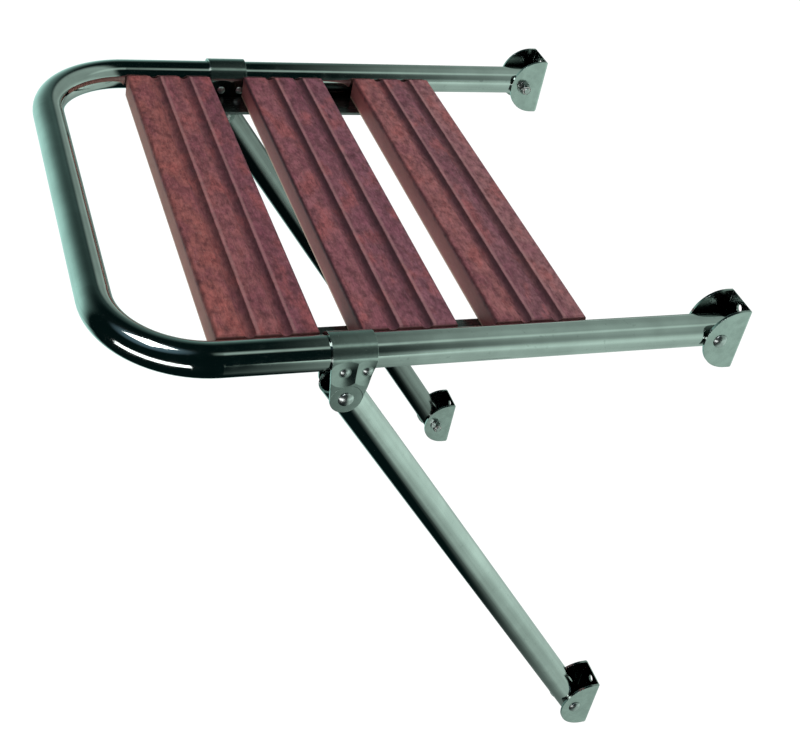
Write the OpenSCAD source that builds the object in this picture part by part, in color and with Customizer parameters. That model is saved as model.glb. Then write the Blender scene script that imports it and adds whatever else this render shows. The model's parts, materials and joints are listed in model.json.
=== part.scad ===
// Fold-up boarding platform for a boat transom: a bent tube frame with three slats,
// carried on four clevis brackets and braced by two struts hung from saddle clamps.
//
// Frame of the part: the origin is midway between the two hinge pins, +X points at the
// boat, +Y to port and +Z up. Lengths are in millimetres.

/* [Tube frame] */
// Outside diameter of every tube
tube_d = 25.4; // [25:0.1:26]
// Wall thickness of every tube
tube_wall = 1.5; // [1:0.1:1.6]
// Distance between the centre lines of the two arms
arm_spacing = 400; // [300:5:600]
// Distance from the hinge pins to the centre line of the bow
frame_reach = 460; // [455:5:600]
// Centre line radius of the two corner bends
bend_r = 73; // [50:1:75]
// How far each arm runs past its hinge pin
arm_tail = 12; // [9:0.5:12]

/* [Slats] */
// Width of a slat
slat_w = 74; // [68:1:78]
// Thickness of a slat
slat_t = 20; // [14:1:24]
// Distance from one slat's centre line to the next
slat_pitch = 104.7; // [98:0.1:106]
// Distance from the hinge pins to the middle slat's centre line
slat_reach = 245.4; // [240:0.2:250]
// Free space between a slat's end and the arm's centre line
slat_end_gap = 15.5; // [15.5:0.1:18]
// Distance between the two grooves of a slat
groove_pitch = 26; // [22:1:32]
// Width of a groove
groove_w = 9; // [5:0.5:12]
// Depth of a groove
groove_depth = 3; // [1:0.1:3.5]

/* [Support rails] */
// Width of the flat bar under the slat ends
rail_w = 44.5; // [36:0.5:50]
// Thickness of the flat bar
rail_t = 2.5; // [1.5:0.1:2.5]

/* [Saddles and struts] */
// Distance from the hinge pins to the strut pivots, along the arm
strut_pivot_reach = 297; // [290:1:300]
// Depth of the strut pivots below the arm's centre line
strut_pivot_drop = 31; // [31:0.5:34]
// Distance from the hinge pins down to the foot pins
foot_drop = 443; // [380:1:520]
// Length of a saddle along the arm
saddle_l = 33; // [28:1:34]
// Radius of the rounded end of a saddle's legs
leg_r = 12; // [10:0.5:13]
// How far a strut runs past its upper pin
strut_head = 8.8; // [6:0.1:8.8]
// How far a strut runs past its lower pin
strut_tail = 10; // [6:0.5:12]

/* [Brackets] */
// Height of a bracket
bracket_h = 54; // [50:1:64]
// Distance from a bracket's pin to the transom
pin_standoff = 20.6; // [20.6:0.1:24]
// Distance from a bracket's pin to the tip of its ears
ear_nose = 13.4; // [12:0.1:16]
// Thickness of the bracket and saddle sheet
sheet_t = 2; // [1.5:0.1:2]
// Diameter of the mounting holes
mount_hole_d = 6.5; // [5:0.5:8]
// Distance between the two mounting holes
mount_pitch = 38; // [34:1:40]

/* [Fasteners] */
// Diameter of a pivot bolt's shank
bolt_d = 6.3; // [5:0.1:6.3]
// Diameter of the holes that a pivot bolt runs in
bolt_hole_d = 6.4; // [6.4:0.1:6.6]
// Diameter of a rivet's shank
rivet_d = 4; // [3:0.2:4.8]
// Diameter of a slat screw's shank
screw_d = 4; // [3:0.2:5]

/* [Hidden] */
$fn = 64;

cut = 1;
PORT = 1;
STARBOARD = -1;
tube_r = tube_d / 2;
bore_r = tube_r - tube_wall;
arm_y = arm_spacing / 2;
bolt_r = bolt_d / 2;
bolt_hole_r = bolt_hole_d / 2;

// Sheet parts stand this far off a tube's side.
side_gap = 0.3;
cheek_in = tube_r + side_gap;
cheek_out = cheek_in + sheet_t;

// Slats and the bars under them.
rail_top = -(tube_r + 0.1);
rail_bottom = rail_top - rail_t;
slat_top = rail_top + slat_t;
slat_len = 2 * (arm_y - slat_end_gap);
slat_round = 2.5;
slat_chamfer = 1.5;
groove_r = (pow(groove_w / 2, 2) + pow(groove_depth, 2)) / (2 * groove_depth);
rail_inset = 3;
rail_x0 = -slat_reach - slat_pitch - slat_w / 2 + rail_inset;
rail_x1 = -slat_reach + slat_pitch + slat_w / 2 - rail_inset;
rail_corner = 5;
weld_r = 1.8;
weld_l = 16;
weld_x = [-370, -335, -255, -190, -120];

// Screws up through the bars into the slats.
screw_r = screw_d / 2;
screw_hole_r = screw_r + 0.05;
screw_side = 24;
screw_y = arm_y - (slat_end_gap + rail_w) / 2;
screw_bite = 13;
screw_head_r = 4;
screw_head_h = 2.4;

// Saddles: a strap over the arm, riveted to it, whose two legs carry the strut's bolt.
strut_x = -strut_pivot_reach;
strut_z = -strut_pivot_drop;
saddle_shift = 1.4;
saddle_x0 = saddle_shift - saddle_l / 2;
saddle_x1 = saddle_shift + saddle_l / 2;
shoulder_drop = 3;
flank_r = leg_r - 0.05;
rivet_r = rivet_d / 2;
rivet_hole_r = rivet_r + 0.05;
rivet_drop = 7.8;
rivet_shift = 4.2;
rivet_pitch = 16.8;
rivet_head_r = 3.6;
rivet_head_h = 1.7;
rivet_reach = 3.2;
bulb_r = 2.4;
bulb_l = 3;
dimple_r = 12;
dimple_floor_r = 4.6;
dimple_depth = 1.2;
slot_gap = 1.3;

// Struts.
strut_run = sqrt(pow(strut_pivot_reach, 2) + pow(foot_drop - strut_pivot_drop, 2));
strut_angle = atan2(foot_drop - strut_pivot_drop, strut_pivot_reach);

// Brackets.
ear_r = bracket_h / 2;
ear_x = ear_r - ear_nose;
fold_r = 3;
fold_in_r = 1;
corner_r = 3;

// Pivot bolts, washers and lock nuts.
bolt_head_r = 5.8;
bolt_head_h = 3.3;
washer_r = 6.3;
washer_t = 1.2;
nut_flats = 10;
nut_corner_r = nut_flats / sqrt(3);
nut_h = 4.4;
nut_seat = cheek_out + washer_t;
collar_r = 4.7;
collar_h = 1.8;
ring_r = 4.1;
ring_t = 1.4;
recess_r = ring_r + 0.05;
bolt_end = 1.4;
bolt_stack = washer_t + nut_h + collar_h + bolt_end;

// Puts the children on one side of the boat; they are drawn for starboard.
module on_side(side) {
    if (side == PORT) mirror([0, 1, 0]) children();
    else children();
}

// A cylinder along Y that starts at y0 and ends at y1.
module y_cylinder(r, y0, y1) {
    translate([0, y0, 0]) rotate([-90, 0, 0]) cylinder(r = r, h = y1 - y0);
}

// A cylinder along X that starts at x0 and ends at x1.
module x_cylinder(r, x0, x1) {
    translate([x0, 0, 0]) rotate([0, 90, 0]) cylinder(r = r, h = x1 - x0);
}

// A shallow domed button, flat at z = 0 and rising along +Z.
module dome(base_r, height) {
    ball_r = (pow(base_r, 2) + pow(height, 2)) / (2 * height);
    rotate_extrude()
        intersection() {
            translate([0, height - ball_r]) circle(r = ball_r);
            square([base_r, height]);
        }
}

// Rectangle from corner a to corner b with the listed corners rounded.
module rounded_rect(a, b, r) {
    translate([a.x + r, a.y]) square([b.x - a.x - 2 * r, b.y - a.y]);
    translate([a.x, a.y + r]) square([b.x - a.x, b.y - a.y - 2 * r]);
    for (x = [a.x + r, b.x - r], y = [a.y + r, b.y - r])
        translate([x, y]) circle(r = r);
}

// ---------------------------------------------------------------- tube frame

// The solid swept by a circle of radius r along the frame's centre line.
module frame_path(r, tail) {
    bend_x = -(frame_reach - bend_r);
    bend_y = arm_y - bend_r;
    for (side = [STARBOARD, PORT])
        on_side(side) {
            translate([0, -arm_y, 0]) x_cylinder(r, bend_x, tail);
            translate([bend_x, -bend_y, 0])
                rotate_extrude(angle = 90, start = 180)
                    translate([bend_r, 0]) circle(r = r);
        }
    translate([-frame_reach, 0, 0]) y_cylinder(r, -bend_y, bend_y);
}

module frame_tube() {
    color("silver")
        difference() {
            frame_path(tube_r, arm_tail);
            frame_path(bore_r, arm_tail + cut);
            for (side = [STARBOARD, PORT])
                on_side(side) translate([0, -arm_y, 0]) {
                    y_cylinder(bolt_hole_r, -tube_r - cut, tube_r + cut);
                    rivet_places() y_cylinder(rivet_hole_r, rivet_reach, tube_r + cut);
                }
        }
}

// ---------------------------------------------------------------- slats

// Cross-section of a slat: rounded top edges and two run-off grooves.
module slat_profile() {
    difference() {
        union() {
            translate([-slat_w / 2, 0]) square([slat_w, slat_t - slat_round]);
            translate([-slat_w / 2 + slat_round, 0]) square([slat_w - 2 * slat_round, slat_t]);
            for (side = [-1, 1])
                translate([side * (slat_w / 2 - slat_round), slat_t - slat_round])
                    circle(r = slat_round);
        }
        for (side = [-1, 1])
            translate([side * groove_pitch / 2, slat_t + groove_r - groove_depth])
                circle(r = groove_r);
    }
}

module screw_places() {
    for (side_x = [-1, 1], side_y = [-1, 1])
        translate([side_x * screw_side, side_y * screw_y, rail_bottom]) children();
}

// The slat whose centre line is the given number of pitches inboard of the middle one.
module slat(step) {
    color("#8d4a3c")
        translate([-slat_reach + step * slat_pitch, 0, 0])
            difference() {
                translate([0, 0, rail_top])
                    rotate([90, 0, 0])
                        linear_extrude(height = slat_len, center = true) slat_profile();
                for (end = [-1, 1])
                    translate([0, end * slat_len / 2, slat_top])
                        rotate([45, 0, 0])
                            cube([slat_w + cut, slat_chamfer * sqrt(2), slat_chamfer * sqrt(2)],
                                center = true);
                screw_places() cylinder(r = screw_hole_r, h = rail_t + screw_bite + cut);
            }
}

module slat_screws() {
    color("gainsboro")
        for (step = [-1, 0, 1])
            translate([-slat_reach + step * slat_pitch, 0, 0])
                screw_places() {
                    cylinder(r = screw_r, h = rail_t + screw_bite);
                    mirror([0, 0, 1]) dome(screw_head_r, screw_head_h);
                }
}

// ---------------------------------------------------------------- support rails

// Short weld runs in the notch between the arm and the bar.
module rail_welds() {
    difference() {
        for (x = weld_x)
            translate([x, tube_r * 0.48, rail_top + weld_r / 2])
                x_cylinder(weld_r, -weld_l / 2, weld_l / 2);
        x_cylinder(tube_r, rail_x0 - cut, rail_x1 + cut);
        translate([rail_x0 - cut, 0, rail_top - 2 * weld_r])
            cube([rail_x1 - rail_x0 + 2 * cut, rail_w, 2 * weld_r]);
    }
}

// The bar runs inboard from under the arm and is slotted for the saddle's inner leg.
module rail(side) {
    color("gray")
        on_side(side) translate([0, -arm_y, 0]) {
            difference() {
                translate([0, 0, rail_bottom])
                    linear_extrude(height = rail_t)
                        rounded_rect([rail_x0, 0], [rail_x1, rail_w], rail_corner);
                translate([strut_x + saddle_x0 - slot_gap, cheek_in - slot_gap, rail_bottom - cut])
                    cube([saddle_l + 2 * slot_gap, sheet_t + 2 * slot_gap, rail_t + 2 * cut]);
                for (step = [-1, 0, 1])
                    translate([-slat_reach + step * slat_pitch, arm_y, 0])
                        screw_places()
                            translate([0, 0, -cut])
                                cylinder(r = screw_hole_r, h = rail_t + 2 * cut);
            }
            rail_welds();
        }
}

// ---------------------------------------------------------------- saddles

// Both rivets of the inboard cheek and, mirrored, both of the outboard one.
module rivet_places() {
    for (cheek = [0, 1], side = [-1, 1])
        mirror([0, cheek, 0])
            translate([strut_x + rivet_shift + side * rivet_pitch / 2, 0, -rivet_drop])
                children();
}

// Side view of a saddle, seen with X to the right and Z up, about the strut's pivot.
// Its flanks run from the strap's shoulders to the round end of the leg, a hair inside it.
module saddle_outline() {
    strap_z = strut_pivot_drop + cheek_out + cut;
    shoulder = [[saddle_x0, strut_pivot_drop - shoulder_drop],
        [saddle_x1, strut_pivot_drop - shoulder_drop]];
    touch = [for (i = [0, 1])
        let (reach = norm(shoulder[i]),
            turn = atan2(shoulder[i].y, shoulder[i].x) + (i == 0 ? 1 : -1) * acos(flank_r / reach))
        flank_r * [cos(turn), sin(turn)]];
    circle(r = leg_r);
    polygon([touch[0], shoulder[0], [saddle_x0, strap_z], [saddle_x1, strap_z],
        shoulder[1], touch[1]]);
}

// End view of a saddle: the strap over the tube and its two straight legs.
module strap_profile() {
    leg_bottom = strut_pivot_drop + leg_r + cut;
    difference() {
        union() {
            circle(r = cheek_out);
            translate([-cheek_out, -leg_bottom]) square([2 * cheek_out, leg_bottom]);
        }
        circle(r = cheek_in);
        translate([-cheek_in, -leg_bottom - cut]) square([2 * cheek_in, leg_bottom + cut]);
    }
}

// The pressed dish round a rivet: its outer cone is cut away, its inner cone is raised.
module dish(y) {
    translate([0, y, 0])
        rotate([90, 0, 0])
            cylinder(r1 = dimple_r, r2 = dimple_floor_r, h = dimple_depth);
}

module saddle(side) {
    color("lightsteelblue")
        on_side(side) translate([0, -arm_y, 0])
            difference() {
                intersection() {
                    union() {
                        translate([strut_x + saddle_x0, 0, 0])
                            rotate([90, 0, 90])
                                linear_extrude(height = saddle_l) strap_profile();
                        rivet_places() dish(cheek_in);
                    }
                    translate([strut_x, cheek_out + cut, strut_z])
                        rotate([90, 0, 0])
                            linear_extrude(height = 2 * (cheek_out + cut)) saddle_outline();
                }
                x_cylinder(cheek_in, strut_x - saddle_l, strut_x + saddle_l);
                rivet_places() {
                    dish(cheek_out);
                    y_cylinder(rivet_hole_r, rivet_reach, cheek_out + cut);
                }
                translate([strut_x, 0, strut_z])
                    y_cylinder(bolt_hole_r, -cheek_out - cut, cheek_out + cut);
            }
}

// Blind rivets: a domed head in the dish, a shank through the tube's wall and a bulb inside.
module saddle_rivets() {
    color("gainsboro")
        for (side = [STARBOARD, PORT])
            on_side(side) translate([0, -arm_y, 0])
                rivet_places() {
                    translate([0, cheek_out - dimple_depth, 0])
                        rotate([-90, 0, 0]) dome(rivet_head_r, rivet_head_h);
                    y_cylinder(rivet_r, rivet_reach, cheek_out - dimple_depth);
                    y_cylinder(bulb_r, rivet_reach - bulb_l, rivet_reach);
                }
}

// ---------------------------------------------------------------- struts

module strut(side) {
    color("silver")
        on_side(side)
            translate([strut_x, -arm_y, strut_z])
                rotate([0, strut_angle, 0])
                    difference() {
                        x_cylinder(tube_r, -strut_head, strut_run + strut_tail);
                        x_cylinder(bore_r, -strut_head - cut, strut_run + strut_tail + cut);
                        for (x = [0, strut_run])
                            translate([x, 0, 0])
                                y_cylinder(bolt_hole_r, -tube_r - cut, tube_r + cut);
                    }
}

// ---------------------------------------------------------------- brackets

// Top view of a bracket: a channel folded from one sheet, its back against the transom.
module channel_profile() {
    nose = -ear_nose - cut;
    difference() {
        union() {
            translate([nose, -cheek_out]) square([pin_standoff - fold_r - nose, 2 * cheek_out]);
            translate([nose, -cheek_out + fold_r])
                square([pin_standoff - nose, 2 * (cheek_out - fold_r)]);
            for (side = [-1, 1])
                translate([pin_standoff - fold_r, side * (cheek_out - fold_r)])
                    circle(r = fold_r);
        }
        translate([nose - cut, -cheek_in])
            square([pin_standoff - sheet_t - fold_in_r - nose + cut, 2 * cheek_in]);
        translate([nose - cut, -cheek_in + fold_in_r])
            square([pin_standoff - sheet_t - nose + cut, 2 * (cheek_in - fold_in_r)]);
        for (side = [-1, 1])
            translate([pin_standoff - sheet_t - fold_in_r, side * (cheek_in - fold_in_r)])
                circle(r = fold_in_r);
    }
}

// Side view of a bracket: round-nosed ears that run straight into the back.
module ear_outline() {
    intersection() {
        union() {
            translate([ear_x, 0]) circle(r = ear_r);
            translate([ear_x, -ear_r]) square([pin_standoff - ear_x, bracket_h]);
        }
        rounded_rect([-ear_nose - corner_r, -ear_r], [pin_standoff, ear_r], corner_r);
    }
}

// A bracket about its own pin; all four are the same piece.
module bracket() {
    color("#9fb3ae")
        difference() {
            intersection() {
                translate([0, 0, -ear_r])
                    linear_extrude(height = bracket_h) channel_profile();
                translate([0, cheek_out + cut, 0])
                    rotate([90, 0, 0])
                        linear_extrude(height = 2 * (cheek_out + cut)) ear_outline();
            }
            y_cylinder(bolt_hole_r, -cheek_out - cut, cheek_out + cut);
            for (end = [-1, 1])
                translate([0, 0, end * mount_pitch / 2])
                    x_cylinder(mount_hole_d / 2, pin_standoff - sheet_t - cut, pin_standoff + cut);
        }
}

// ---------------------------------------------------------------- pivot fasteners

// Domed bolt across a clevis, with its head outboard on the starboard side.
module pivot_bolt() {
    color("gainsboro") {
        translate([0, -cheek_out, 0]) rotate([90, 0, 0]) dome(bolt_head_r, bolt_head_h);
        y_cylinder(bolt_r, -cheek_out, cheek_out + bolt_stack);
    }
}

module pivot_washer() {
    color("silver")
        difference() {
            y_cylinder(washer_r, cheek_out, cheek_out + washer_t);
            y_cylinder(bolt_hole_r, cheek_out - cut, cheek_out + washer_t + cut);
        }
}

// Hexagonal lock nut whose round collar is recessed for the locking ring.
module pivot_nut() {
    collar_y = nut_seat + nut_h;
    color("darkgray")
        difference() {
            union() {
                translate([0, nut_seat, 0])
                    rotate([-90, 0, 0]) cylinder(r = nut_corner_r, h = nut_h, $fn = 6);
                y_cylinder(collar_r, collar_y, collar_y + collar_h);
            }
            y_cylinder(bolt_hole_r, nut_seat - cut, collar_y + cut);
            y_cylinder(recess_r, collar_y, collar_y + collar_h + cut);
        }
}

// Nylon ring that grips the bolt's thread, seated in the collar.
module nut_ring() {
    ring_y = nut_seat + nut_h;
    color("white")
        difference() {
            y_cylinder(ring_r, ring_y, ring_y + ring_t);
            y_cylinder(bolt_hole_r, ring_y - cut, ring_y + ring_t + cut);
        }
}

module at_hinge(side) {
    on_side(side) translate([0, -arm_y, 0]) children();
}

module at_saddle(side) {
    on_side(side) translate([strut_x, -arm_y, strut_z]) children();
}

module at_foot(side) {
    on_side(side) translate([0, -arm_y, -foot_drop]) children();
}

module both_sides() {
    for (side = [STARBOARD, PORT]) on_side(side) children();
}

module hinge_bolts() {
    both_sides() at_hinge(STARBOARD) pivot_bolt();
}

module hinge_washers() {
    both_sides() at_hinge(STARBOARD) pivot_washer();
}

module hinge_nuts() {
    both_sides() at_hinge(STARBOARD) pivot_nut();
}

module hinge_nut_rings() {
    both_sides() at_hinge(STARBOARD) nut_ring();
}

module strut_bolts() {
    both_sides() at_saddle(STARBOARD) pivot_bolt();
}

module strut_washers() {
    both_sides() at_saddle(STARBOARD) pivot_washer();
}

module strut_nuts() {
    both_sides() at_saddle(STARBOARD) pivot_nut();
}

module strut_nut_rings() {
    both_sides() at_saddle(STARBOARD) nut_ring();
}

frame_tube();
slat(-1);  // outer_slat
slat(0);  // middle_slat
slat(1);  // inner_slat
rail(PORT);  // rail_port
rail(STARBOARD);  // rail_starboard
slat_screws();
saddle(PORT);  // saddle_port
saddle(STARBOARD);  // saddle_starboard
saddle_rivets();
strut_bolts();
strut_washers();
strut_nuts();
strut_nut_rings();
at_hinge(PORT) bracket();  // hinge_bracket_port
at_hinge(STARBOARD) bracket();  // hinge_bracket_starboard
hinge_bolts();
hinge_washers();
hinge_nuts();
hinge_nut_rings();
strut(PORT);  // strut_port
strut(STARBOARD);  // strut_starboard
at_foot(PORT) bracket();  // foot_bracket_port
at_foot(PORT) pivot_bolt();  // foot_bolt_port
at_foot(PORT) pivot_washer();  // foot_washer_port
at_foot(PORT) pivot_nut();  // foot_nut_port
at_foot(PORT) nut_ring();  // foot_nut_ring_port
at_foot(STARBOARD) bracket();  // foot_bracket_starboard
at_foot(STARBOARD) pivot_bolt();  // foot_bolt_starboard
at_foot(STARBOARD) pivot_washer();  // foot_washer_starboard
at_foot(STARBOARD) pivot_nut();  // foot_nut_starboard
at_foot(STARBOARD) nut_ring();  // foot_nut_ring_starboard
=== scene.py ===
import json
import math

import bmesh
import bpy
from mathutils import Matrix, Vector


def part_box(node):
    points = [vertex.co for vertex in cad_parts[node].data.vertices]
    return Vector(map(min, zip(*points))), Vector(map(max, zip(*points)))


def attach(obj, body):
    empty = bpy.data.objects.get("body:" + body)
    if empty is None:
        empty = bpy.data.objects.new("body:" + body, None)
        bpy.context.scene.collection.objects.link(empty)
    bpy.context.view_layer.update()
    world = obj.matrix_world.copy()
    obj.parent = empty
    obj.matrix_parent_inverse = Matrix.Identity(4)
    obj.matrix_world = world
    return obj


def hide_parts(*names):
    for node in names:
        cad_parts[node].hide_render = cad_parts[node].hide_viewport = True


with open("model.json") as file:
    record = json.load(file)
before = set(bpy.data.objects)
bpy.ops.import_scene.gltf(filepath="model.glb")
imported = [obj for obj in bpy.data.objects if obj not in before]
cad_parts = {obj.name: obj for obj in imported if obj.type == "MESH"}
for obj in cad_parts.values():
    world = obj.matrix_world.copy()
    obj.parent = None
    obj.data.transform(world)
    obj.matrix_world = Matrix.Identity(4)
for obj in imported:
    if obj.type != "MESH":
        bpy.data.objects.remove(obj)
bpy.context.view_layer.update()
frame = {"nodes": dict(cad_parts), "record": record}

MM = 0.001
PORT = 1
STARBOARD = -1
SIDE_NAMES = {PORT: "port", STARBOARD: "starboard"}
FEELERS = 6  # how many times a finish looks round itself for corners to paint shade into and for worn edges


def colour(red, green, blue):
    """A colour given as it is seen, from 0 to 255, turned into the linear values shaders use."""
    return tuple(
        (c / 255 / 12.92) if c < 11 else ((c / 255 + 0.055) / 1.055) ** 2.4
        for c in (red, green, blue)
    ) + (1.0,)


def shade(tone, factor):
    """The same colour, lighter or darker."""
    return tuple(factor * c for c in tone[:3]) + (1.0,)


# ------------------------------------------------------------------ nodes


class Field:
    """One output of a node tree. Arithmetic on it adds Math nodes."""

    def __init__(self, nodes, socket):
        self.nodes = nodes
        self.socket = socket

    def _math(self, operation, *values):
        return self.nodes.node("ShaderNodeMath", {"operation": operation}, dict(enumerate(values)))

    def __add__(self, other):
        return self._math("ADD", self, other)

    def __radd__(self, other):
        return self._math("ADD", other, self)

    def __sub__(self, other):
        return self._math("SUBTRACT", self, other)

    def __rsub__(self, other):
        return self._math("SUBTRACT", other, self)

    def __mul__(self, other):
        return self._math("MULTIPLY", self, other)

    def __rmul__(self, other):
        return self._math("MULTIPLY", other, self)

    def __truediv__(self, other):
        return self._math("DIVIDE", self, other)

    def __abs__(self):
        return self._math("ABSOLUTE", self)

    def step(self, low, high):
        """Rises smoothly from 0 at low to 1 at high."""
        return self.nodes.node(
            "ShaderNodeMapRange", {"interpolation_type": "SMOOTHSTEP"},
            {"Value": self, "From Min": low, "From Max": high},
        )

    def near(self, centre, half_width):
        """1 at centre, falling smoothly to 0 at half_width to either side."""
        return 1 - abs(self - centre).step(0, half_width)


class Nodes:
    """A node tree that is built by calls."""

    def __init__(self, tree):
        self.tree = tree

    def node(self, kind, settings=None, sockets=None, output=0):
        """Adds a node: its settings first, then the values or links of its sockets."""
        node = self.tree.nodes.new(kind)
        for name, value in (settings or {}).items():
            if name == "stops":
                self._set_stops(node.color_ramp, value)
            else:
                setattr(node, name, value)
        for name, value in (sockets or {}).items():
            if isinstance(value, Field):
                self.tree.links.new(value.socket, node.inputs[name])
            else:
                node.inputs[name].default_value = value
        return Field(self, node.outputs[output])

    @staticmethod
    def _set_stops(ramp, stops):
        while len(ramp.elements) < len(stops):
            ramp.elements.new(1.0)
        for element, (position, value) in zip(ramp.elements, stops):
            element.position = position
            element.color = value

    def ray(self, kind):
        """1 for rays of the given kind and 0 for all others."""
        return self.node("ShaderNodeLightPath", output=f"Is {kind} Ray")

    def blend(self, factor, first, second, mode="MIX"):
        """Mixes two colours."""
        return self.node(
            "ShaderNodeMix", {"data_type": "RGBA", "blend_type": mode},
            {"Factor": factor, 6: first, 7: second}, output=2,
        )

    def tint(self, factor, stops):
        """A colour picked from stops by a factor."""
        return self.node("ShaderNodeValToRGB", {"stops": stops}, {"Fac": factor})


class Finish(Nodes):
    """A material made of nodes round one Principled shader."""

    def __init__(self, name, **sockets):
        self.material = bpy.data.materials.new(name)
        self.material.use_nodes = True
        super().__init__(self.material.node_tree)
        self.shader = self.tree.nodes["Principled BSDF"]
        for socket, value in sockets.items():
            self.shader.inputs[socket.replace("_", " ")].default_value = value
        self.place = self.node("ShaderNodeTexCoord", output="Object")

    def feed(self, **fields):
        """Links fields to the shader's sockets, whose names are given with _ for a space."""
        for socket, field in fields.items():
            self.tree.links.new(field.socket, self.shader.inputs[socket.replace("_", " ")])

    def axis(self, letter):
        """The place along one of the part's own axes, in millimetres."""
        return self.node("ShaderNodeSeparateXYZ", sockets={"Vector": self.place}, output=letter) / MM

    def noise(self, size_mm, stretch=(1, 1, 1), detail=3.0, rough=0.55, seed=0.0, turn=0.0, twist=0.0):
        """Cloudy noise whose spots are about size_mm across, drawn out by stretch, turned about Y."""
        where = self.node(
            "ShaderNodeMapping", {"vector_type": "TEXTURE"},
            {
                "Vector": self.place,
                "Location": (seed, seed * 0.7, seed * 1.3),
                "Rotation": (0, turn, 0),
                "Scale": [size_mm * MM * s for s in stretch],
            },
        )
        return self.node(
            "ShaderNodeTexNoise", {},
            {"Vector": where, "Scale": 1.0, "Detail": detail, "Roughness": rough, "Distortion": twist},
        )

    def bump(self, height, strength, depth_mm, under=None):
        """A normal from a height field, on top of the normal under it."""
        sockets = {"Height": height, "Strength": strength, "Distance": depth_mm * MM}
        if under is not None:
            sockets["Normal"] = under
        return self.node("ShaderNodeBump", {}, sockets)

    def painted_shade(self, reach_mm=40.0, shut=0.3, clear=0.75):
        """Rises to 1 where the surface is boxed in, where shade is painted."""
        openness = self.node(
            "ShaderNodeAmbientOcclusion", {"samples": FEELERS}, {"Distance": reach_mm * MM}, output="AO",
        )
        return 1 - openness.step(shut, clear)

    def worn_edges(self, radius_mm):
        """The surface's normal, rounded over at sharp edges."""
        return self.node("ShaderNodeBevel", {"samples": FEELERS}, {"Radius": radius_mm * MM})


# ------------------------------------------------------------------ finishes

BRIGHT_STEEL = (0.62, 0.68, 0.65, 1)
SHEET_STEEL = (0.52, 0.60, 0.565, 1)
BAR_STEEL = (0.30, 0.33, 0.325, 1)
FASTENER_STEEL = (0.64, 0.69, 0.67, 1)
NUT_STEEL = (0.50, 0.55, 0.53, 1)
WATER_MARK = (0.30, 0.34, 0.32, 1)
# Near black, painted as shade where metal is boxed in.
HOLLOW_SHADE = (0.012, 0.016, 0.016, 1)


def tube_finish(name, drawn, turn=0.0, tone=BRIGHT_STEEL, polish=0.07):
    """Polished stainless tube: faint lines along it, wiping marks and dried water spots."""
    finish = Finish(name, Metallic=1.0)
    lines = finish.noise(0.45, drawn, detail=4, turn=turn)
    streaks = finish.noise(3.5, drawn, detail=3, turn=turn, seed=6.3)
    cloud = finish.noise(30, detail=3, seed=3.1)
    spots = finish.noise(4.5, detail=5, seed=9.4).step(0.62, 0.72)
    dull = finish.noise(11, detail=4, seed=5.7).step(0.45, 0.8)
    metal = finish.blend(cloud.step(0.3, 0.7), tone, shade(tone, 0.84))
    metal = finish.blend(streaks.step(0.42, 0.75) * 0.4, metal, shade(tone, 0.66))
    metal = finish.blend(spots * 0.22, metal, WATER_MARK)
    # Painted shade: near black where the tube is boxed in, and inside it.
    metal = finish.blend(finish.painted_shade(25, 0.05, 0.35), metal, HOLLOW_SHADE)
    finish.feed(
        Base_Color=metal,
        Roughness=polish + (lines - 0.5) * 0.05 + dull * 0.06 + spots * 0.1 + streaks.step(0.5, 0.8) * 0.05,
        Normal=finish.bump(lines * 0.6 + streaks * 0.6 + cloud * 0.3, 0.1, 0.012),
    )
    return finish.material


def sheet_finish():
    """Pressed stainless sheet: a satin grain, faint forming marks and rounded, brighter edges."""
    finish = Finish("pressed_sheet", Metallic=1.0)
    grain = finish.noise(0.7, (1, 1, 7), detail=4)
    cloud = finish.noise(8, detail=3, seed=4.2)
    pits = finish.noise(1.3, detail=4, seed=7.7).step(0.64, 0.76)
    metal = finish.blend(cloud.step(0.3, 0.7), SHEET_STEEL, shade(SHEET_STEEL, 0.84))
    metal = finish.blend(pits * 0.4, metal, shade(SHEET_STEEL, 0.4))
    # Painted shade in the sheet's folds and hollows.
    metal = finish.blend(finish.painted_shade() * 0.93, metal, HOLLOW_SHADE)
    relief = grain * 0.3 + cloud * 0.9 - pits * 0.6
    finish.feed(
        Base_Color=metal,
        Roughness=0.16 + (grain - 0.5) * 0.08 + cloud * 0.06 + pits * 0.12,
        Normal=finish.bump(relief, 0.16, 0.025, under=finish.worn_edges(0.4)),
    )
    return finish.material


def bar_finish():
    """Flat bar, brushed along its length, with a dark oxide bloom in patches."""
    finish = Finish("flat_bar", Metallic=1.0)
    grain = finish.noise(0.35, (30, 1, 1), detail=4)
    cloud = finish.noise(16, (2, 1, 1), detail=4, seed=2.2)
    metal = finish.blend(cloud.step(0.3, 0.72), BAR_STEEL, shade(BAR_STEEL, 0.6))
    # Painted shade where the bar is boxed in under the slats.
    metal = finish.blend(finish.painted_shade(30, 0.35, 0.95) * 0.9, metal, HOLLOW_SHADE)
    finish.feed(
        Base_Color=metal,
        Roughness=0.2 + (grain - 0.5) * 0.2 + cloud * 0.1,
        Normal=finish.bump(grain, 0.2, 0.01, under=finish.worn_edges(0.4)),
    )
    return finish.material


def fastener_finish(name, tone, polish):
    """Bright stainless hardware with fine turning marks and a little dirt."""
    finish = Finish(name, Metallic=1.0)
    marks = finish.noise(0.35, detail=4)
    cloud = finish.noise(2.4, detail=3, seed=6.1)
    metal = finish.blend(cloud.step(0.3, 0.7), tone, shade(tone, 0.74))
    finish.feed(
        Base_Color=metal,
        Roughness=polish + (marks - 0.5) * 0.12 + cloud * 0.05,
        Normal=finish.bump(marks, 0.14, 0.01, under=finish.worn_edges(0.15)),
    )
    return finish.material


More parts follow.
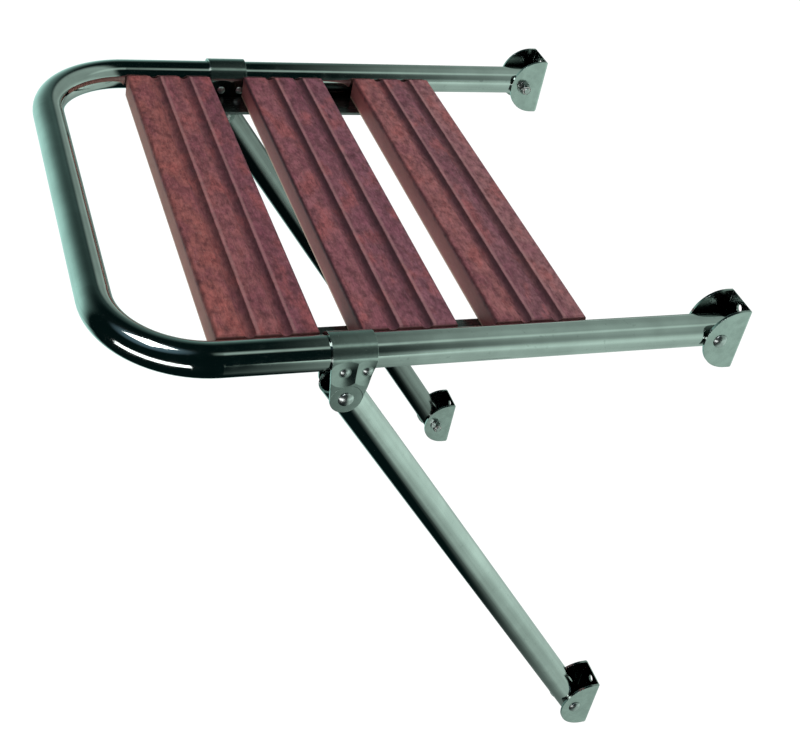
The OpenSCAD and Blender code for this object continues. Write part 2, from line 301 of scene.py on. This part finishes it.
def nylon_finish():
    """Milky nylon, a little greasy."""
    finish = Finish("nylon", IOR=1.53)
    cloud = finish.noise(1.8, detail=3)
    finish.feed(
        Base_Color=finish.blend(cloud.step(0.35, 0.7), colour(214, 218, 212), colour(188, 192, 184)),
        Roughness=0.38 + cloud * 0.2,
        Normal=finish.bump(cloud, 0.15, 0.03),
    )
    return finish.material


def wood_finish(name, seed, left, middle, right, side, left_arris_shade, right_groove_shade):
    """Oiled red-brown hardwood: short broken grain on a tone that changes over the slat's width,
    with dirt and painted shade in the two grooves, a painted highlight on the lip beside each,
    painted shade along the top arrises and pale painted bounce light low on the left side."""
    finish = Finish(name, IOR=1.45)
    low, high = (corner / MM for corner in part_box(name))
    half = (high.x - low.x) / 2
    across = finish.axis("X") - (low.x + high.x) / 2
    along = abs(finish.axis("Y"))
    height = finish.axis("Z")

    grain = finish.noise(1.9, (1, 5, 1.4), detail=5, rough=0.65, seed=seed, twist=0.6)
    mottle = finish.noise(5.2, (1, 1.7, 1), detail=5, rough=0.7, seed=seed + 5.3)
    patch = finish.noise(17, (1, 2.2, 1), detail=3, seed=seed + 1.9)
    pores = finish.noise(0.8, (1, 9, 1), detail=3, seed=seed + 8.8).step(0.55, 0.68)
    flecks = finish.noise(2.1, (1, 2.2, 1), detail=4, rough=0.65, seed=seed + 2.9).step(0.54, 0.74)
    stain = finish.noise(3.1, (1, 3, 1), detail=4, rough=0.65, seed=seed + 7.1).step(0.54, 0.74)

    body = finish.blend(across.step(-17, -9), left, middle)
    body = finish.blend((across + (patch - 0.5) * 14).step(9, 17), body, right)
    body = finish.blend(patch.step(0.48, 0.66) * 0.45, body, colour(154, 78, 72))
    body = finish.blend((1 - patch).step(0.48, 0.66) * 0.4, body, colour(114, 52, 74))
    dark_stop = (0.38, (0.5, 0.22, 0.3, 1))
    pale_stop = (0.62, (1.66, 1.42, 1.46, 1))
    speckle = finish.tint(mottle * 0.65 + grain * 0.35, [dark_stop, pale_stop])
    body = finish.blend(0.85, body, speckle, "MULTIPLY")
    body = finish.blend(flecks * 0.3, body, colour(170, 122, 118))
    body = finish.blend(stain * 0.4, body, colour(84, 34, 54))
    body = finish.blend(pores * 0.35, body, colour(72, 30, 42))

    on_top = height.step(high.z - 6, high.z - 2)
    from_groove = across - (across.step(-0.5, 0.5) * 2 - 1) * GROOVE_SIDE
    inside = from_groove.step(-5.6, -4) * (1 - from_groove.step(4.1, 5)) * on_top
    # Dirt and painted shade in the grooves, with more painted shade in each groove's right half.
    groove_dirt_and_shade = inside * (0.24 + from_groove.step(-2, 4) * right_groove_shade + (mottle - 0.5) * 0.6)
    body = finish.blend(groove_dirt_and_shade, body, SLAT_DIRT_AND_SHADE)
    # Painted highlight on the lip just right of each groove.
    body = finish.blend(from_groove.near(6, 2.2) * on_top * 0.4, body, colour(178, 132, 130))
    # Painted shade along the top arrises of both long sides, its depth on the left given per slat.
    shaded_arrises = across.near(-half + 0.4, 1.3) * left_arris_shade + across.near(half - 0.6, 1.8) * 0.65
    body = finish.blend(shaded_arrises * on_top, body, SLAT_DIRT_AND_SHADE)

    on_side = (1 - across.step(-half + 0.02, -half + 0.3)) * (1 - on_top)
    body = finish.blend(on_side * (0.55 + patch * 0.5), body, side)
    # Painted bounce light: the left side paler towards its bottom edge.
    body = finish.blend(on_side * height.near(low.z + 0.4, 2.4) * 0.6, body, colour(206, 190, 166))
    sawn_end = along.step(high.y - 0.6, high.y - 0.3)
    rings = finish.noise(1.6, (3.5, 1, 1), detail=4, seed=seed + 4.4, twist=1.2)
    end_grain = finish.blend(rings, colour(66, 30, 34), colour(116, 70, 64))
    body = finish.blend(sawn_end * 0.8, body, end_grain)
    below = 1 - height.step(low.z + 0.02, low.z + 0.3)
    body = finish.blend(below * 0.4, body, colour(128, 92, 84))

    relief = grain * 0.7 + mottle * 0.6 - pores * 0.7
    finish.feed(
        Base_Color=body,
        Roughness=0.6 + (grain - 0.5) * 0.2 + pores * 0.12 - flecks * 0.06,
        Normal=finish.bump(relief, 0.5, 0.14, under=finish.worn_edges(0.5)),
    )
    return finish.material


def joint_place(name):
    """Where a joint's axis passes, in the part's frame."""
    joints = frame["record"]["behaviour"]["joints"]
    return Vector(next(joint["pos_m"] for joint in joints if joint["name"] == name))


STRUT_TOP = joint_place("brace_swing_port")
STRUT_FOOT = joint_place("foot_swivel_port")
STRUT_DIP = math.atan2(STRUT_TOP.z - STRUT_FOOT.z, STRUT_FOOT.x - STRUT_TOP.x)
ARM_Y = STRUT_TOP.y
GROOVE_SIDE = 13  # from the middle of a slat to the middle of each groove, in millimetres
# Dark red-brown for dirt and painted shade in the grooves and for painted shade along the arrises.
SLAT_DIRT_AND_SHADE = colour(62, 18, 36)

# For each slat: a seed for its grain, its tones from left to right, the tone of its left side,
# how dark the painted shade on its left arris is, and how much more painted shade the right half of a
# groove holds.
SLATS = {
    "outer_slat": {
        "seed": 0.0, "left": colour(138, 82, 76), "middle": colour(130, 79, 80),
        "right": colour(118, 68, 78), "side": colour(160, 108, 98), "left_arris_shade": 0.1, "right_groove_shade": 0.14,
    },
    "middle_slat": {
        "seed": 3.7, "left": colour(130, 80, 86), "middle": colour(120, 73, 84),
        "right": colour(120, 76, 88), "side": colour(148, 88, 86), "left_arris_shade": 0.8, "right_groove_shade": 0.46,
    },
    "inner_slat": {
        "seed": 7.4, "left": colour(138, 88, 87), "middle": colour(122, 80, 88),
        "right": colour(138, 98, 99), "side": colour(148, 88, 86), "left_arris_shade": 0.5, "right_groove_shade": 0.42,
    },
}

FINISHES = {
    "polished_tube": tube_finish("polished_tube", (60, 60, 1)),
    "strut_tube": tube_finish("strut_tube", (60, 1, 1), turn=STRUT_DIP),
    # A darker, rougher copy of the strut finish, for the port strut only.
    "darker_strut": tube_finish(
        "darker_strut", (60, 1, 1), turn=STRUT_DIP, tone=shade(BRIGHT_STEEL, 0.42), polish=0.16,
    ),
    "pressed_sheet": sheet_finish(),
    "flat_bar": bar_finish(),
    "fastener_steel": fastener_finish("fastener_steel", FASTENER_STEEL, 0.3),
    "nut_steel": fastener_finish("nut_steel", NUT_STEEL, 0.24),
    "nylon": nylon_finish(),
}


def finish_cad_nodes():
    """Gives every carried-over node its finish. Each slat is a board of its own.
    The port strut gets a darker, rougher copy of the strut's finish."""
    for subpart in frame["record"]["subparts"]:
        node = subpart["node"]
        if node in SLATS:
            material = wood_finish(node, **SLATS[node])
        elif node == "strut_port":
            material = FINISHES["darker_strut"]
        else:
            material = FINISHES[subpart["material_slot"]]
        for material_slot in frame["nodes"][node].material_slots:
            material_slot.material = material


# ------------------------------------------------------------------ modelling


def dome_points(radius, height, count):
    """A shallow dome's outline from its rim to its crown, as (radius, height) pairs."""
    ball = (radius**2 + height**2) / (2 * height)
    rim = math.asin(min(1, radius / ball))
    turns = [rim * (1 - i / count) for i in range(count + 1)]
    return [(ball * math.sin(t), height - ball * (1 - math.cos(t))) for t in turns]


# Along this way no two corners or faces of a turned piece come level.
SORT_WAY = Vector((12.9898, 78.233, 37.719))


def put_in_order(bm):
    """Sorts a mesh by place. Spin gives its parts in an order that changes from run to run, and a
    Boolean splits its faces by that order."""
    bm.verts.sort(key=lambda vert: vert.co.dot(SORT_WAY))
    bm.faces.sort(key=lambda face: face.calc_center_median().dot(SORT_WAY))


def turned(outline, steps=48, closed=False):
    """Spins an outline of (radius, height) pairs in millimetres about Z."""
    bm = bmesh.new()
    ring = [bm.verts.new((radius * MM, 0, height * MM)) for radius, height in outline]
    for first, second in zip(ring, ring[1:] + (ring[:1] if closed else [])):
        if first is not second:
            bm.edges.new((first, second))
    bmesh.ops.spin(
        bm, geom=bm.verts[:] + bm.edges[:], axis=(0, 0, 1), cent=(0, 0, 0),
        angle=2 * math.pi, steps=steps, use_merge=True,
    )
    bmesh.ops.remove_doubles(bm, verts=bm.verts, dist=1e-6)
    bmesh.ops.dissolve_degenerate(bm, edges=bm.edges, dist=1e-7)
    put_in_order(bm)
    bmesh.ops.recalc_face_normals(bm, faces=bm.faces)
    return bm


def as_object(name, bm):
    """An object in the scene that holds bm, which is used up."""
    mesh = bpy.data.meshes.new(name)
    bm.to_mesh(mesh)
    bm.free()
    made = bpy.data.objects.new(name, mesh)
    bpy.context.scene.collection.objects.link(made)
    return made


def cut_with(body, tool, operation):
    """The bmesh of body after a Boolean with tool, which may not cross itself. Both are used up."""
    base = as_object("base", body)
    other = as_object("other", tool)
    boolean = base.modifiers.new("cut", "BOOLEAN")
    boolean.operation = operation
    boolean.object = other
    boolean.solver = "EXACT"
    shaped = base.evaluated_get(bpy.context.evaluated_depsgraph_get()).to_mesh()
    bm = bmesh.new()
    bm.from_mesh(shaped)
    bmesh.ops.remove_doubles(bm, verts=bm.verts, dist=1e-6)
    for used in (base, other):
        mesh = used.data
        bpy.data.objects.remove(used)
        bpy.data.meshes.remove(mesh)
    return bm


def copies(bm, places):
    """One bmesh that holds bm at each of the given matrices."""
    mesh = bpy.data.meshes.new("pattern")
    bm.to_mesh(mesh)
    bm.free()
    joined = bmesh.new()
    for place in places:
        before = len(joined.verts)
        joined.from_mesh(mesh)
        joined.verts.ensure_lookup_table()
        bmesh.ops.transform(joined, matrix=place, verts=joined.verts[before:])
    bpy.data.meshes.remove(mesh)
    return joined


def add_piece(name, bm, body, slot, instead_of=(), smooth_below=40):
    """Puts a finished mesh in the scene on a body, with the finish of its slot."""
    piece = as_object(name, bm)
    piece.data.materials.append(FINISHES[slot])
    piece.data.shade_smooth()
    piece.data.set_sharp_from_angle(angle=math.radians(smooth_below))
    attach(piece, body)
    for node in instead_of:
        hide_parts(node)
    return piece


def across_arm(place, side):
    """Stands Z inboard across an arm, at the given place on the side's pivot."""
    return Matrix.Translation(place) @ Matrix.Rotation(side * math.pi / 2, 4, "X")


# ------------------------------------------------------------------ fasteners

THREAD_PITCH = 1.27
THREAD_DEPTH = 0.55


def bolt_outline():
    """A domed bolt seen from the side, measured from the middle of its clevis."""
    low, high = (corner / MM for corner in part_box("foot_bolt_starboard"))
    middle = -ARM_Y / MM
    nut_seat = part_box("foot_nut_starboard")[0].y / MM - middle
    head_r = (high.x - low.x) / 2
    head_h = 3.3
    head_top = low.y - middle
    head_seat = head_top + head_h
    rim = 0.5
    break_edge = 0.12
    shank_r = 3.15
    thread_start = nut_seat - 2
    end = high.y - middle
    outline = [
        (radius, head_seat - rim - height * (head_seat - rim - head_top) / head_h)
        for radius, height in dome_points(head_r, head_h, 8)
    ][::-1]
    outline += [(head_r, head_seat - break_edge), (head_r - break_edge, head_seat), (shank_r, head_seat)]
    z = thread_start
    outline.append((shank_r, z))
    while z + THREAD_PITCH < end - 0.3:
        outline.append((shank_r - THREAD_DEPTH, z + THREAD_PITCH / 2))
        z += THREAD_PITCH
        outline.append((shank_r, z))
    outline += [(shank_r - 0.5, end), (0, end)]
    return outline


def lock_nut():
    """A hexagonal nut with chamfered corners and a round collar, its seat at Z = 0."""
    low, high = (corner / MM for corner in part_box("foot_nut_starboard"))
    tall = high.y - low.y
    corner = (high.x - low.x) / 2
    hex_top = 4.4
    bore, recess, collar = 3.2, 4.15, 4.7
    blank = turned(
        [
            (bore + 0.4, 0), (corner - 0.7, 0), (corner + 0.02, 0.42),
            (corner + 0.02, hex_top - 0.42), (corner - 0.72, hex_top),
            (collar + 0.1, hex_top + 0.02), (collar, hex_top + 0.15),
            (collar, tall - 0.5), (collar - 0.18, tall - 0.12), (collar - 0.36, tall),
            (recess + 0.05, tall - 0.02), (recess, tall - 0.2),
            (recess, hex_top), (bore, hex_top), (bore, 0.4),
        ],
        closed=True,
    )
    prism = bmesh.new()
    bmesh.ops.create_cone(
        prism, cap_ends=True, segments=6, radius1=corner * MM, radius2=corner * MM, depth=(tall + 1) * MM,
        matrix=Matrix.Translation((0, 0, tall / 2 * MM)) @ Matrix.Rotation(math.pi / 2, 4, "Z"),
    )
    return cut_with(prism, blank, "INTERSECT")


def pivots():
    """Each clevis of the part: its name, body, the nodes of its bolt and nut, and its places."""
    hinge = [Vector((0, side * ARM_Y, 0)) for side in (PORT, STARBOARD)]
    strut = [joint_place(f"brace_swing_{SIDE_NAMES[side]}") for side in (PORT, STARBOARD)]
    yield "hinge", "transom_brackets", "hinge_bolts", "hinge_nuts", hinge
    yield "strut", "platform", "strut_bolts", "strut_nuts", strut
    for side in (PORT, STARBOARD):
        name = SIDE_NAMES[side]
        foot = [joint_place(f"foot_swivel_{name}")]
        yield f"foot_{name}", f"foot_{name}", f"foot_bolt_{name}", f"foot_nut_{name}", foot


def make_pivot_fasteners():
    """A domed bolt and a lock nut at each clevis, heads outboard and nuts inboard."""
    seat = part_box("foot_nut_starboard")[0].y + ARM_Y
    for name, body, bolts, nuts, places in pivots():
        stands = [across_arm(place, 1 if place.y > 0 else -1) for place in places]
        bolt = copies(turned(bolt_outline()), stands)
        add_piece(f"{name}_domed_bolt", bolt, body, "fastener_steel", [bolts])
        seats = [stand @ Matrix.Translation((0, 0, seat)) for stand in stands]
        add_piece(f"{name}_lock_nut", copies(lock_nut(), seats), body, "nut_steel", [nuts], smooth_below=25)


def make_rivets():
    """Blind rivets with the broken mandrel sunk in the head."""
    low, high = (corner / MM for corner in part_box("saddle_rivets"))
    head_r = (high.z - low.z) / 2
    head_h = 1.7
    seat = high.y - ARM_Y / MM - head_h
    crown = seat + head_h
    shank_r = 1.95
    tail = [(0, seat - 9), (2.3, seat - 9), (2.4, seat - 6.5), (shank_r, seat - 6), (shank_r, seat)]
    dome = [(radius, seat + height) for radius, height in dome_points(head_r, head_h, 9)[:-2]]
    mandrel = [(0.75, crown - 0.12), (0.7, crown - 0.4), (0.4, crown - 0.3), (0, crown - 0.28)]
    rivet = turned(tail + [(head_r, seat)] + dome + mandrel, 32)
    z = (low.z + high.z) / 2
    stands = [
        across_arm((x * MM, arm * ARM_Y, z * MM), face)
        for x in (low.x + head_r, high.x - head_r)
        for arm in (PORT, STARBOARD)
        for face in (-1, 1)
    ]
    add_piece("blind_rivets", copies(rivet, stands), "platform", "fastener_steel", ["saddle_rivets"])


def make_slat_screws():
    """Pan-head screws with a cross recess, driven up through the bars."""
    low, high = (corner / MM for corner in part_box("slat_screws"))
    head_r = 4.0
    head_h = 2.4
    shank_r = 2.0
    point_l = 4
    tall = high.z - low.z
    outline = [(radius, head_h - height) for radius, height in dome_points(head_r, head_h, 7)][::-1]
    outline += [(shank_r, head_h), (shank_r, tall - point_l), (0, tall)]
    screw = turned(outline, 32)
    # The recess is cut one blade at a time, the second a little shallower and both slightly turned,
    # so that no two faces of a cut lie in one plane.
    for turn in (0, math.pi / 2):
        blade = bmesh.new()
        blade_size = Matrix.Diagonal((3.6 * MM, 0.75 * MM, (2.4 - turn * 0.1) * MM, 1))
        bmesh.ops.create_cube(blade, size=1, matrix=Matrix.Rotation(turn + 0.03, 4, "Z") @ blade_size)
        screw = cut_with(screw, blade, "DIFFERENCE")
    slats = [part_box(name) for name in SLATS]
    side_x = ((slats[0][0].x + slats[0][1].x) / 2 - low.x * MM) - head_r * MM
    screw_y = high.y * MM - head_r * MM
    stands = [
        Matrix.Translation(((left.x + right.x) / 2 + step * side_x, side * screw_y, low.z * MM))
        @ Matrix.Rotation(0.7 * index + 0.4 * step + 0.9 * side, 4, "Z")
        for index, (left, right) in enumerate(slats)
        for step in (-1, 1)
        for side in (PORT, STARBOARD)
    ]
    add_piece("cross_head_screws", copies(screw, stands), "platform", "fastener_steel", ["slat_screws"])


# ------------------------------------------------------------------ studio

FLOOR_Z = -0.75


def make_floor():
    """A pale floor. The camera sees it nearly white, so the part's shadow hardly shows. In polished
    metal its right half glows with painted light from the right, and the room shows through the rest."""
    bm = bmesh.new()
    bmesh.ops.create_grid(bm, x_segments=1, y_segments=1, size=12)
    bmesh.ops.translate(bm, verts=bm.verts, vec=(0, 0, FLOOR_Z))
    floor = as_object("studio_floor", bm)
    finish = Finish("studio_floor", Base_Color=(0.93, 0.93, 0.93, 1), Roughness=0.9)
    finish.shader.inputs["Specular IOR Level"].default_value = 0.0
    plain = Field(finish, finish.shader.outputs["BSDF"])
    white = finish.node("ShaderNodeEmission", {}, {"Color": (1, 1, 1, 1), "Strength": 1.12})
    seen = finish.node("ShaderNodeMixShader", {}, {"Fac": finish.ray("Camera") * 0.85, 1: plain, 2: white})

    right = finish.axis("X") * MM
    back = finish.axis("Y") * MM
    reach = right - abs(back + 0.6) * 0.25
    glow = (0.55 + right.step(0.3, 1.6) * 0.33) * (1 - back.step(0.2, 2.5) * 0.75)
    # Painted light: the floor's right half glows, seen only in polished metal.
    painted_floor_glow = finish.node("ShaderNodeEmission", {}, {"Color": WALL_LIGHT, "Strength": glow})
    clear = finish.node("ShaderNodeBsdfTransparent")
    mirrored = finish.node("ShaderNodeMixShader", {}, {"Fac": reach.step(-0.28, 0.2), 1: clear, 2: painted_floor_glow})
    seen = finish.node("ShaderNodeMixShader", {}, {"Fac": finish.ray("Glossy"), 1: seen, 2: mirrored})
    finish.tree.links.new(seen.socket, finish.tree.nodes["Material Output"].inputs["Surface"])
    floor.data.materials.append(finish.material)


ROOM_DARK = (0.002, 0.008, 0.008, 1)
WALL_LIGHT = (0.79, 1.0, 0.91, 1)
SCREEN_LIGHT = (0.62, 1.0, 0.92, 1)
HALO_LIGHT = (0.5, 0.8, 1.0, 1)
KEY_WAY = Vector((-0.46, -0.10, 0.88)).normalized()


def light_room():
    """The room. Matt surfaces get soft light that is stronger from the right. Polished metal shows a
    dark room with a pale wall on the right, a strip overhead, a pale screen low behind the bow and a
    halo round the key lamp."""
    world = bpy.data.worlds.new("studio")
    bpy.context.scene.world = world
    world.use_nodes = True
    world.cycles.sampling_method = "NONE"
    room = Nodes(world.node_tree)
    way = room.node("ShaderNodeTexCoord", output="Generated")
    right, back, up = (room.node("ShaderNodeSeparateXYZ", sockets={"Vector": way}, output=a) for a in "XYZ")
    front = 0 - back

    high_edge = right - front.step(0.2, 0.7) * 0.05
    wall_high = high_edge.step(0.26, 0.44) * (0.36 + up.near(0.95, 0.3) * 0.1 + front.near(0.5, 0.4) * 0.08)
    wall_low = right.step(0.3, 0.42) * (0.52 + up.near(-0.06, 0.34) * 0.3 - back.step(0, 0.9) * 0.22)
    wall = wall_low + (wall_high - wall_low) * up.step(0.12, 0.42)
    overhead = (back / up).near(-0.36, 0.27) * up.step(0.5, 0.8) * right.step(0.1, 0.24) * 0.5
    screen = (0.75 - up).step(0, 1.1) * back.step(0.4, 0.7) * (1 - right.step(0.1, 0.45)) * 0.9
    toward_key = room.node(
        "ShaderNodeVectorMath", {"operation": "DOT_PRODUCT"}, {0: way, 1: KEY_WAY}, output="Value",
    )
    halo = toward_key.step(0.87, 0.975) * 0.2

    seen = ROOM_DARK
    lights = ((wall, WALL_LIGHT), (overhead, WALL_LIGHT), (screen, SCREEN_LIGHT), (halo, HALO_LIGHT))
    for amount, tone in lights:
        seen = room.blend(amount, seen, tone)
    level = 0.42 + right.step(-0.1, 0.9) * 1.75
    soft = room.node("ShaderNodeCombineColor", {}, {"Red": level, "Green": level, "Blue": level})
    plain = room.blend(room.ray("Camera"), soft, (1, 1, 1, 1))
    shown = room.blend(room.ray("Glossy"), plain, seen)
    back_shader = world.node_tree.nodes["Background"]
    world.node_tree.links.new(shown.socket, back_shader.inputs["Color"])
    back_shader.inputs["Strength"].default_value = 1.0


def add_lamp(name, place, look_at, size, power, for_matt=True):
    """An area lamp that the camera doesn't see. With for_matt off, only polished surfaces show it."""
    lamp = bpy.data.lights.new(name, "AREA")
    lamp.shape = "RECTANGLE"
    lamp.size, lamp.size_y = size
    lamp.energy = power
    holder = bpy.data.objects.new(name, lamp)
    bpy.context.scene.collection.objects.link(holder)
    holder.location = place
    holder.rotation_euler = (Vector(look_at) - Vector(place)).to_track_quat("-Z", "Y").to_euler()
    holder.visible_camera = False
    holder.visible_diffuse = for_matt


PLATFORM = Vector((-0.25, 0.0, 0.0))
KEY_REACH = 1.6
STRIP_WAY = Vector((-0.72, -0.66, -0.20)).normalized()
STRIP_REACH = 1.5


def light_part():
    """A soft key lamp high on the bow's side and a low strip lamp in front of it."""
    add_lamp("key", PLATFORM + KEY_WAY * KEY_REACH, PLATFORM, (0.62, 0.62), 6.6, for_matt=False)
    add_lamp("strip", PLATFORM + STRIP_WAY * STRIP_REACH, PLATFORM, (1.7, 0.4), 6.5)


CAMERA_PLACE = (-0.6011, -0.8959, 0.5849)
CAMERA_HEADING = math.radians(-26.44)
CAMERA_DIP = math.radians(34.40)
CAMERA_ROLL = math.radians(13.12)
CAMERA_LENS = 61.96
CAMERA_SHIFT = (-0.0218, -0.1119)


def place_camera():
    """The camera: it stands, turns, dips and rolls as given above."""
    view = bpy.data.cameras.new("camera")
    view.sensor_width = 36
    view.lens = CAMERA_LENS
    view.shift_x, view.shift_y = CAMERA_SHIFT
    camera = bpy.data.objects.new("camera", view)
    bpy.context.scene.collection.objects.link(camera)
    camera.matrix_world = (
        Matrix.Translation(CAMERA_PLACE)
        @ Matrix.Rotation(CAMERA_HEADING, 4, "Z")
        @ Matrix.Rotation(math.pi / 2 - CAMERA_DIP, 4, "X")
        @ Matrix.Rotation(CAMERA_ROLL, 4, "Z")
    )
    bpy.context.scene.camera = camera


finish_cad_nodes()
make_pivot_fasteners()
make_rivets()
make_slat_screws()
make_floor()
light_room()
light_part()
place_camera()

bpy.context.scene.view_settings.view_transform = "Standard"
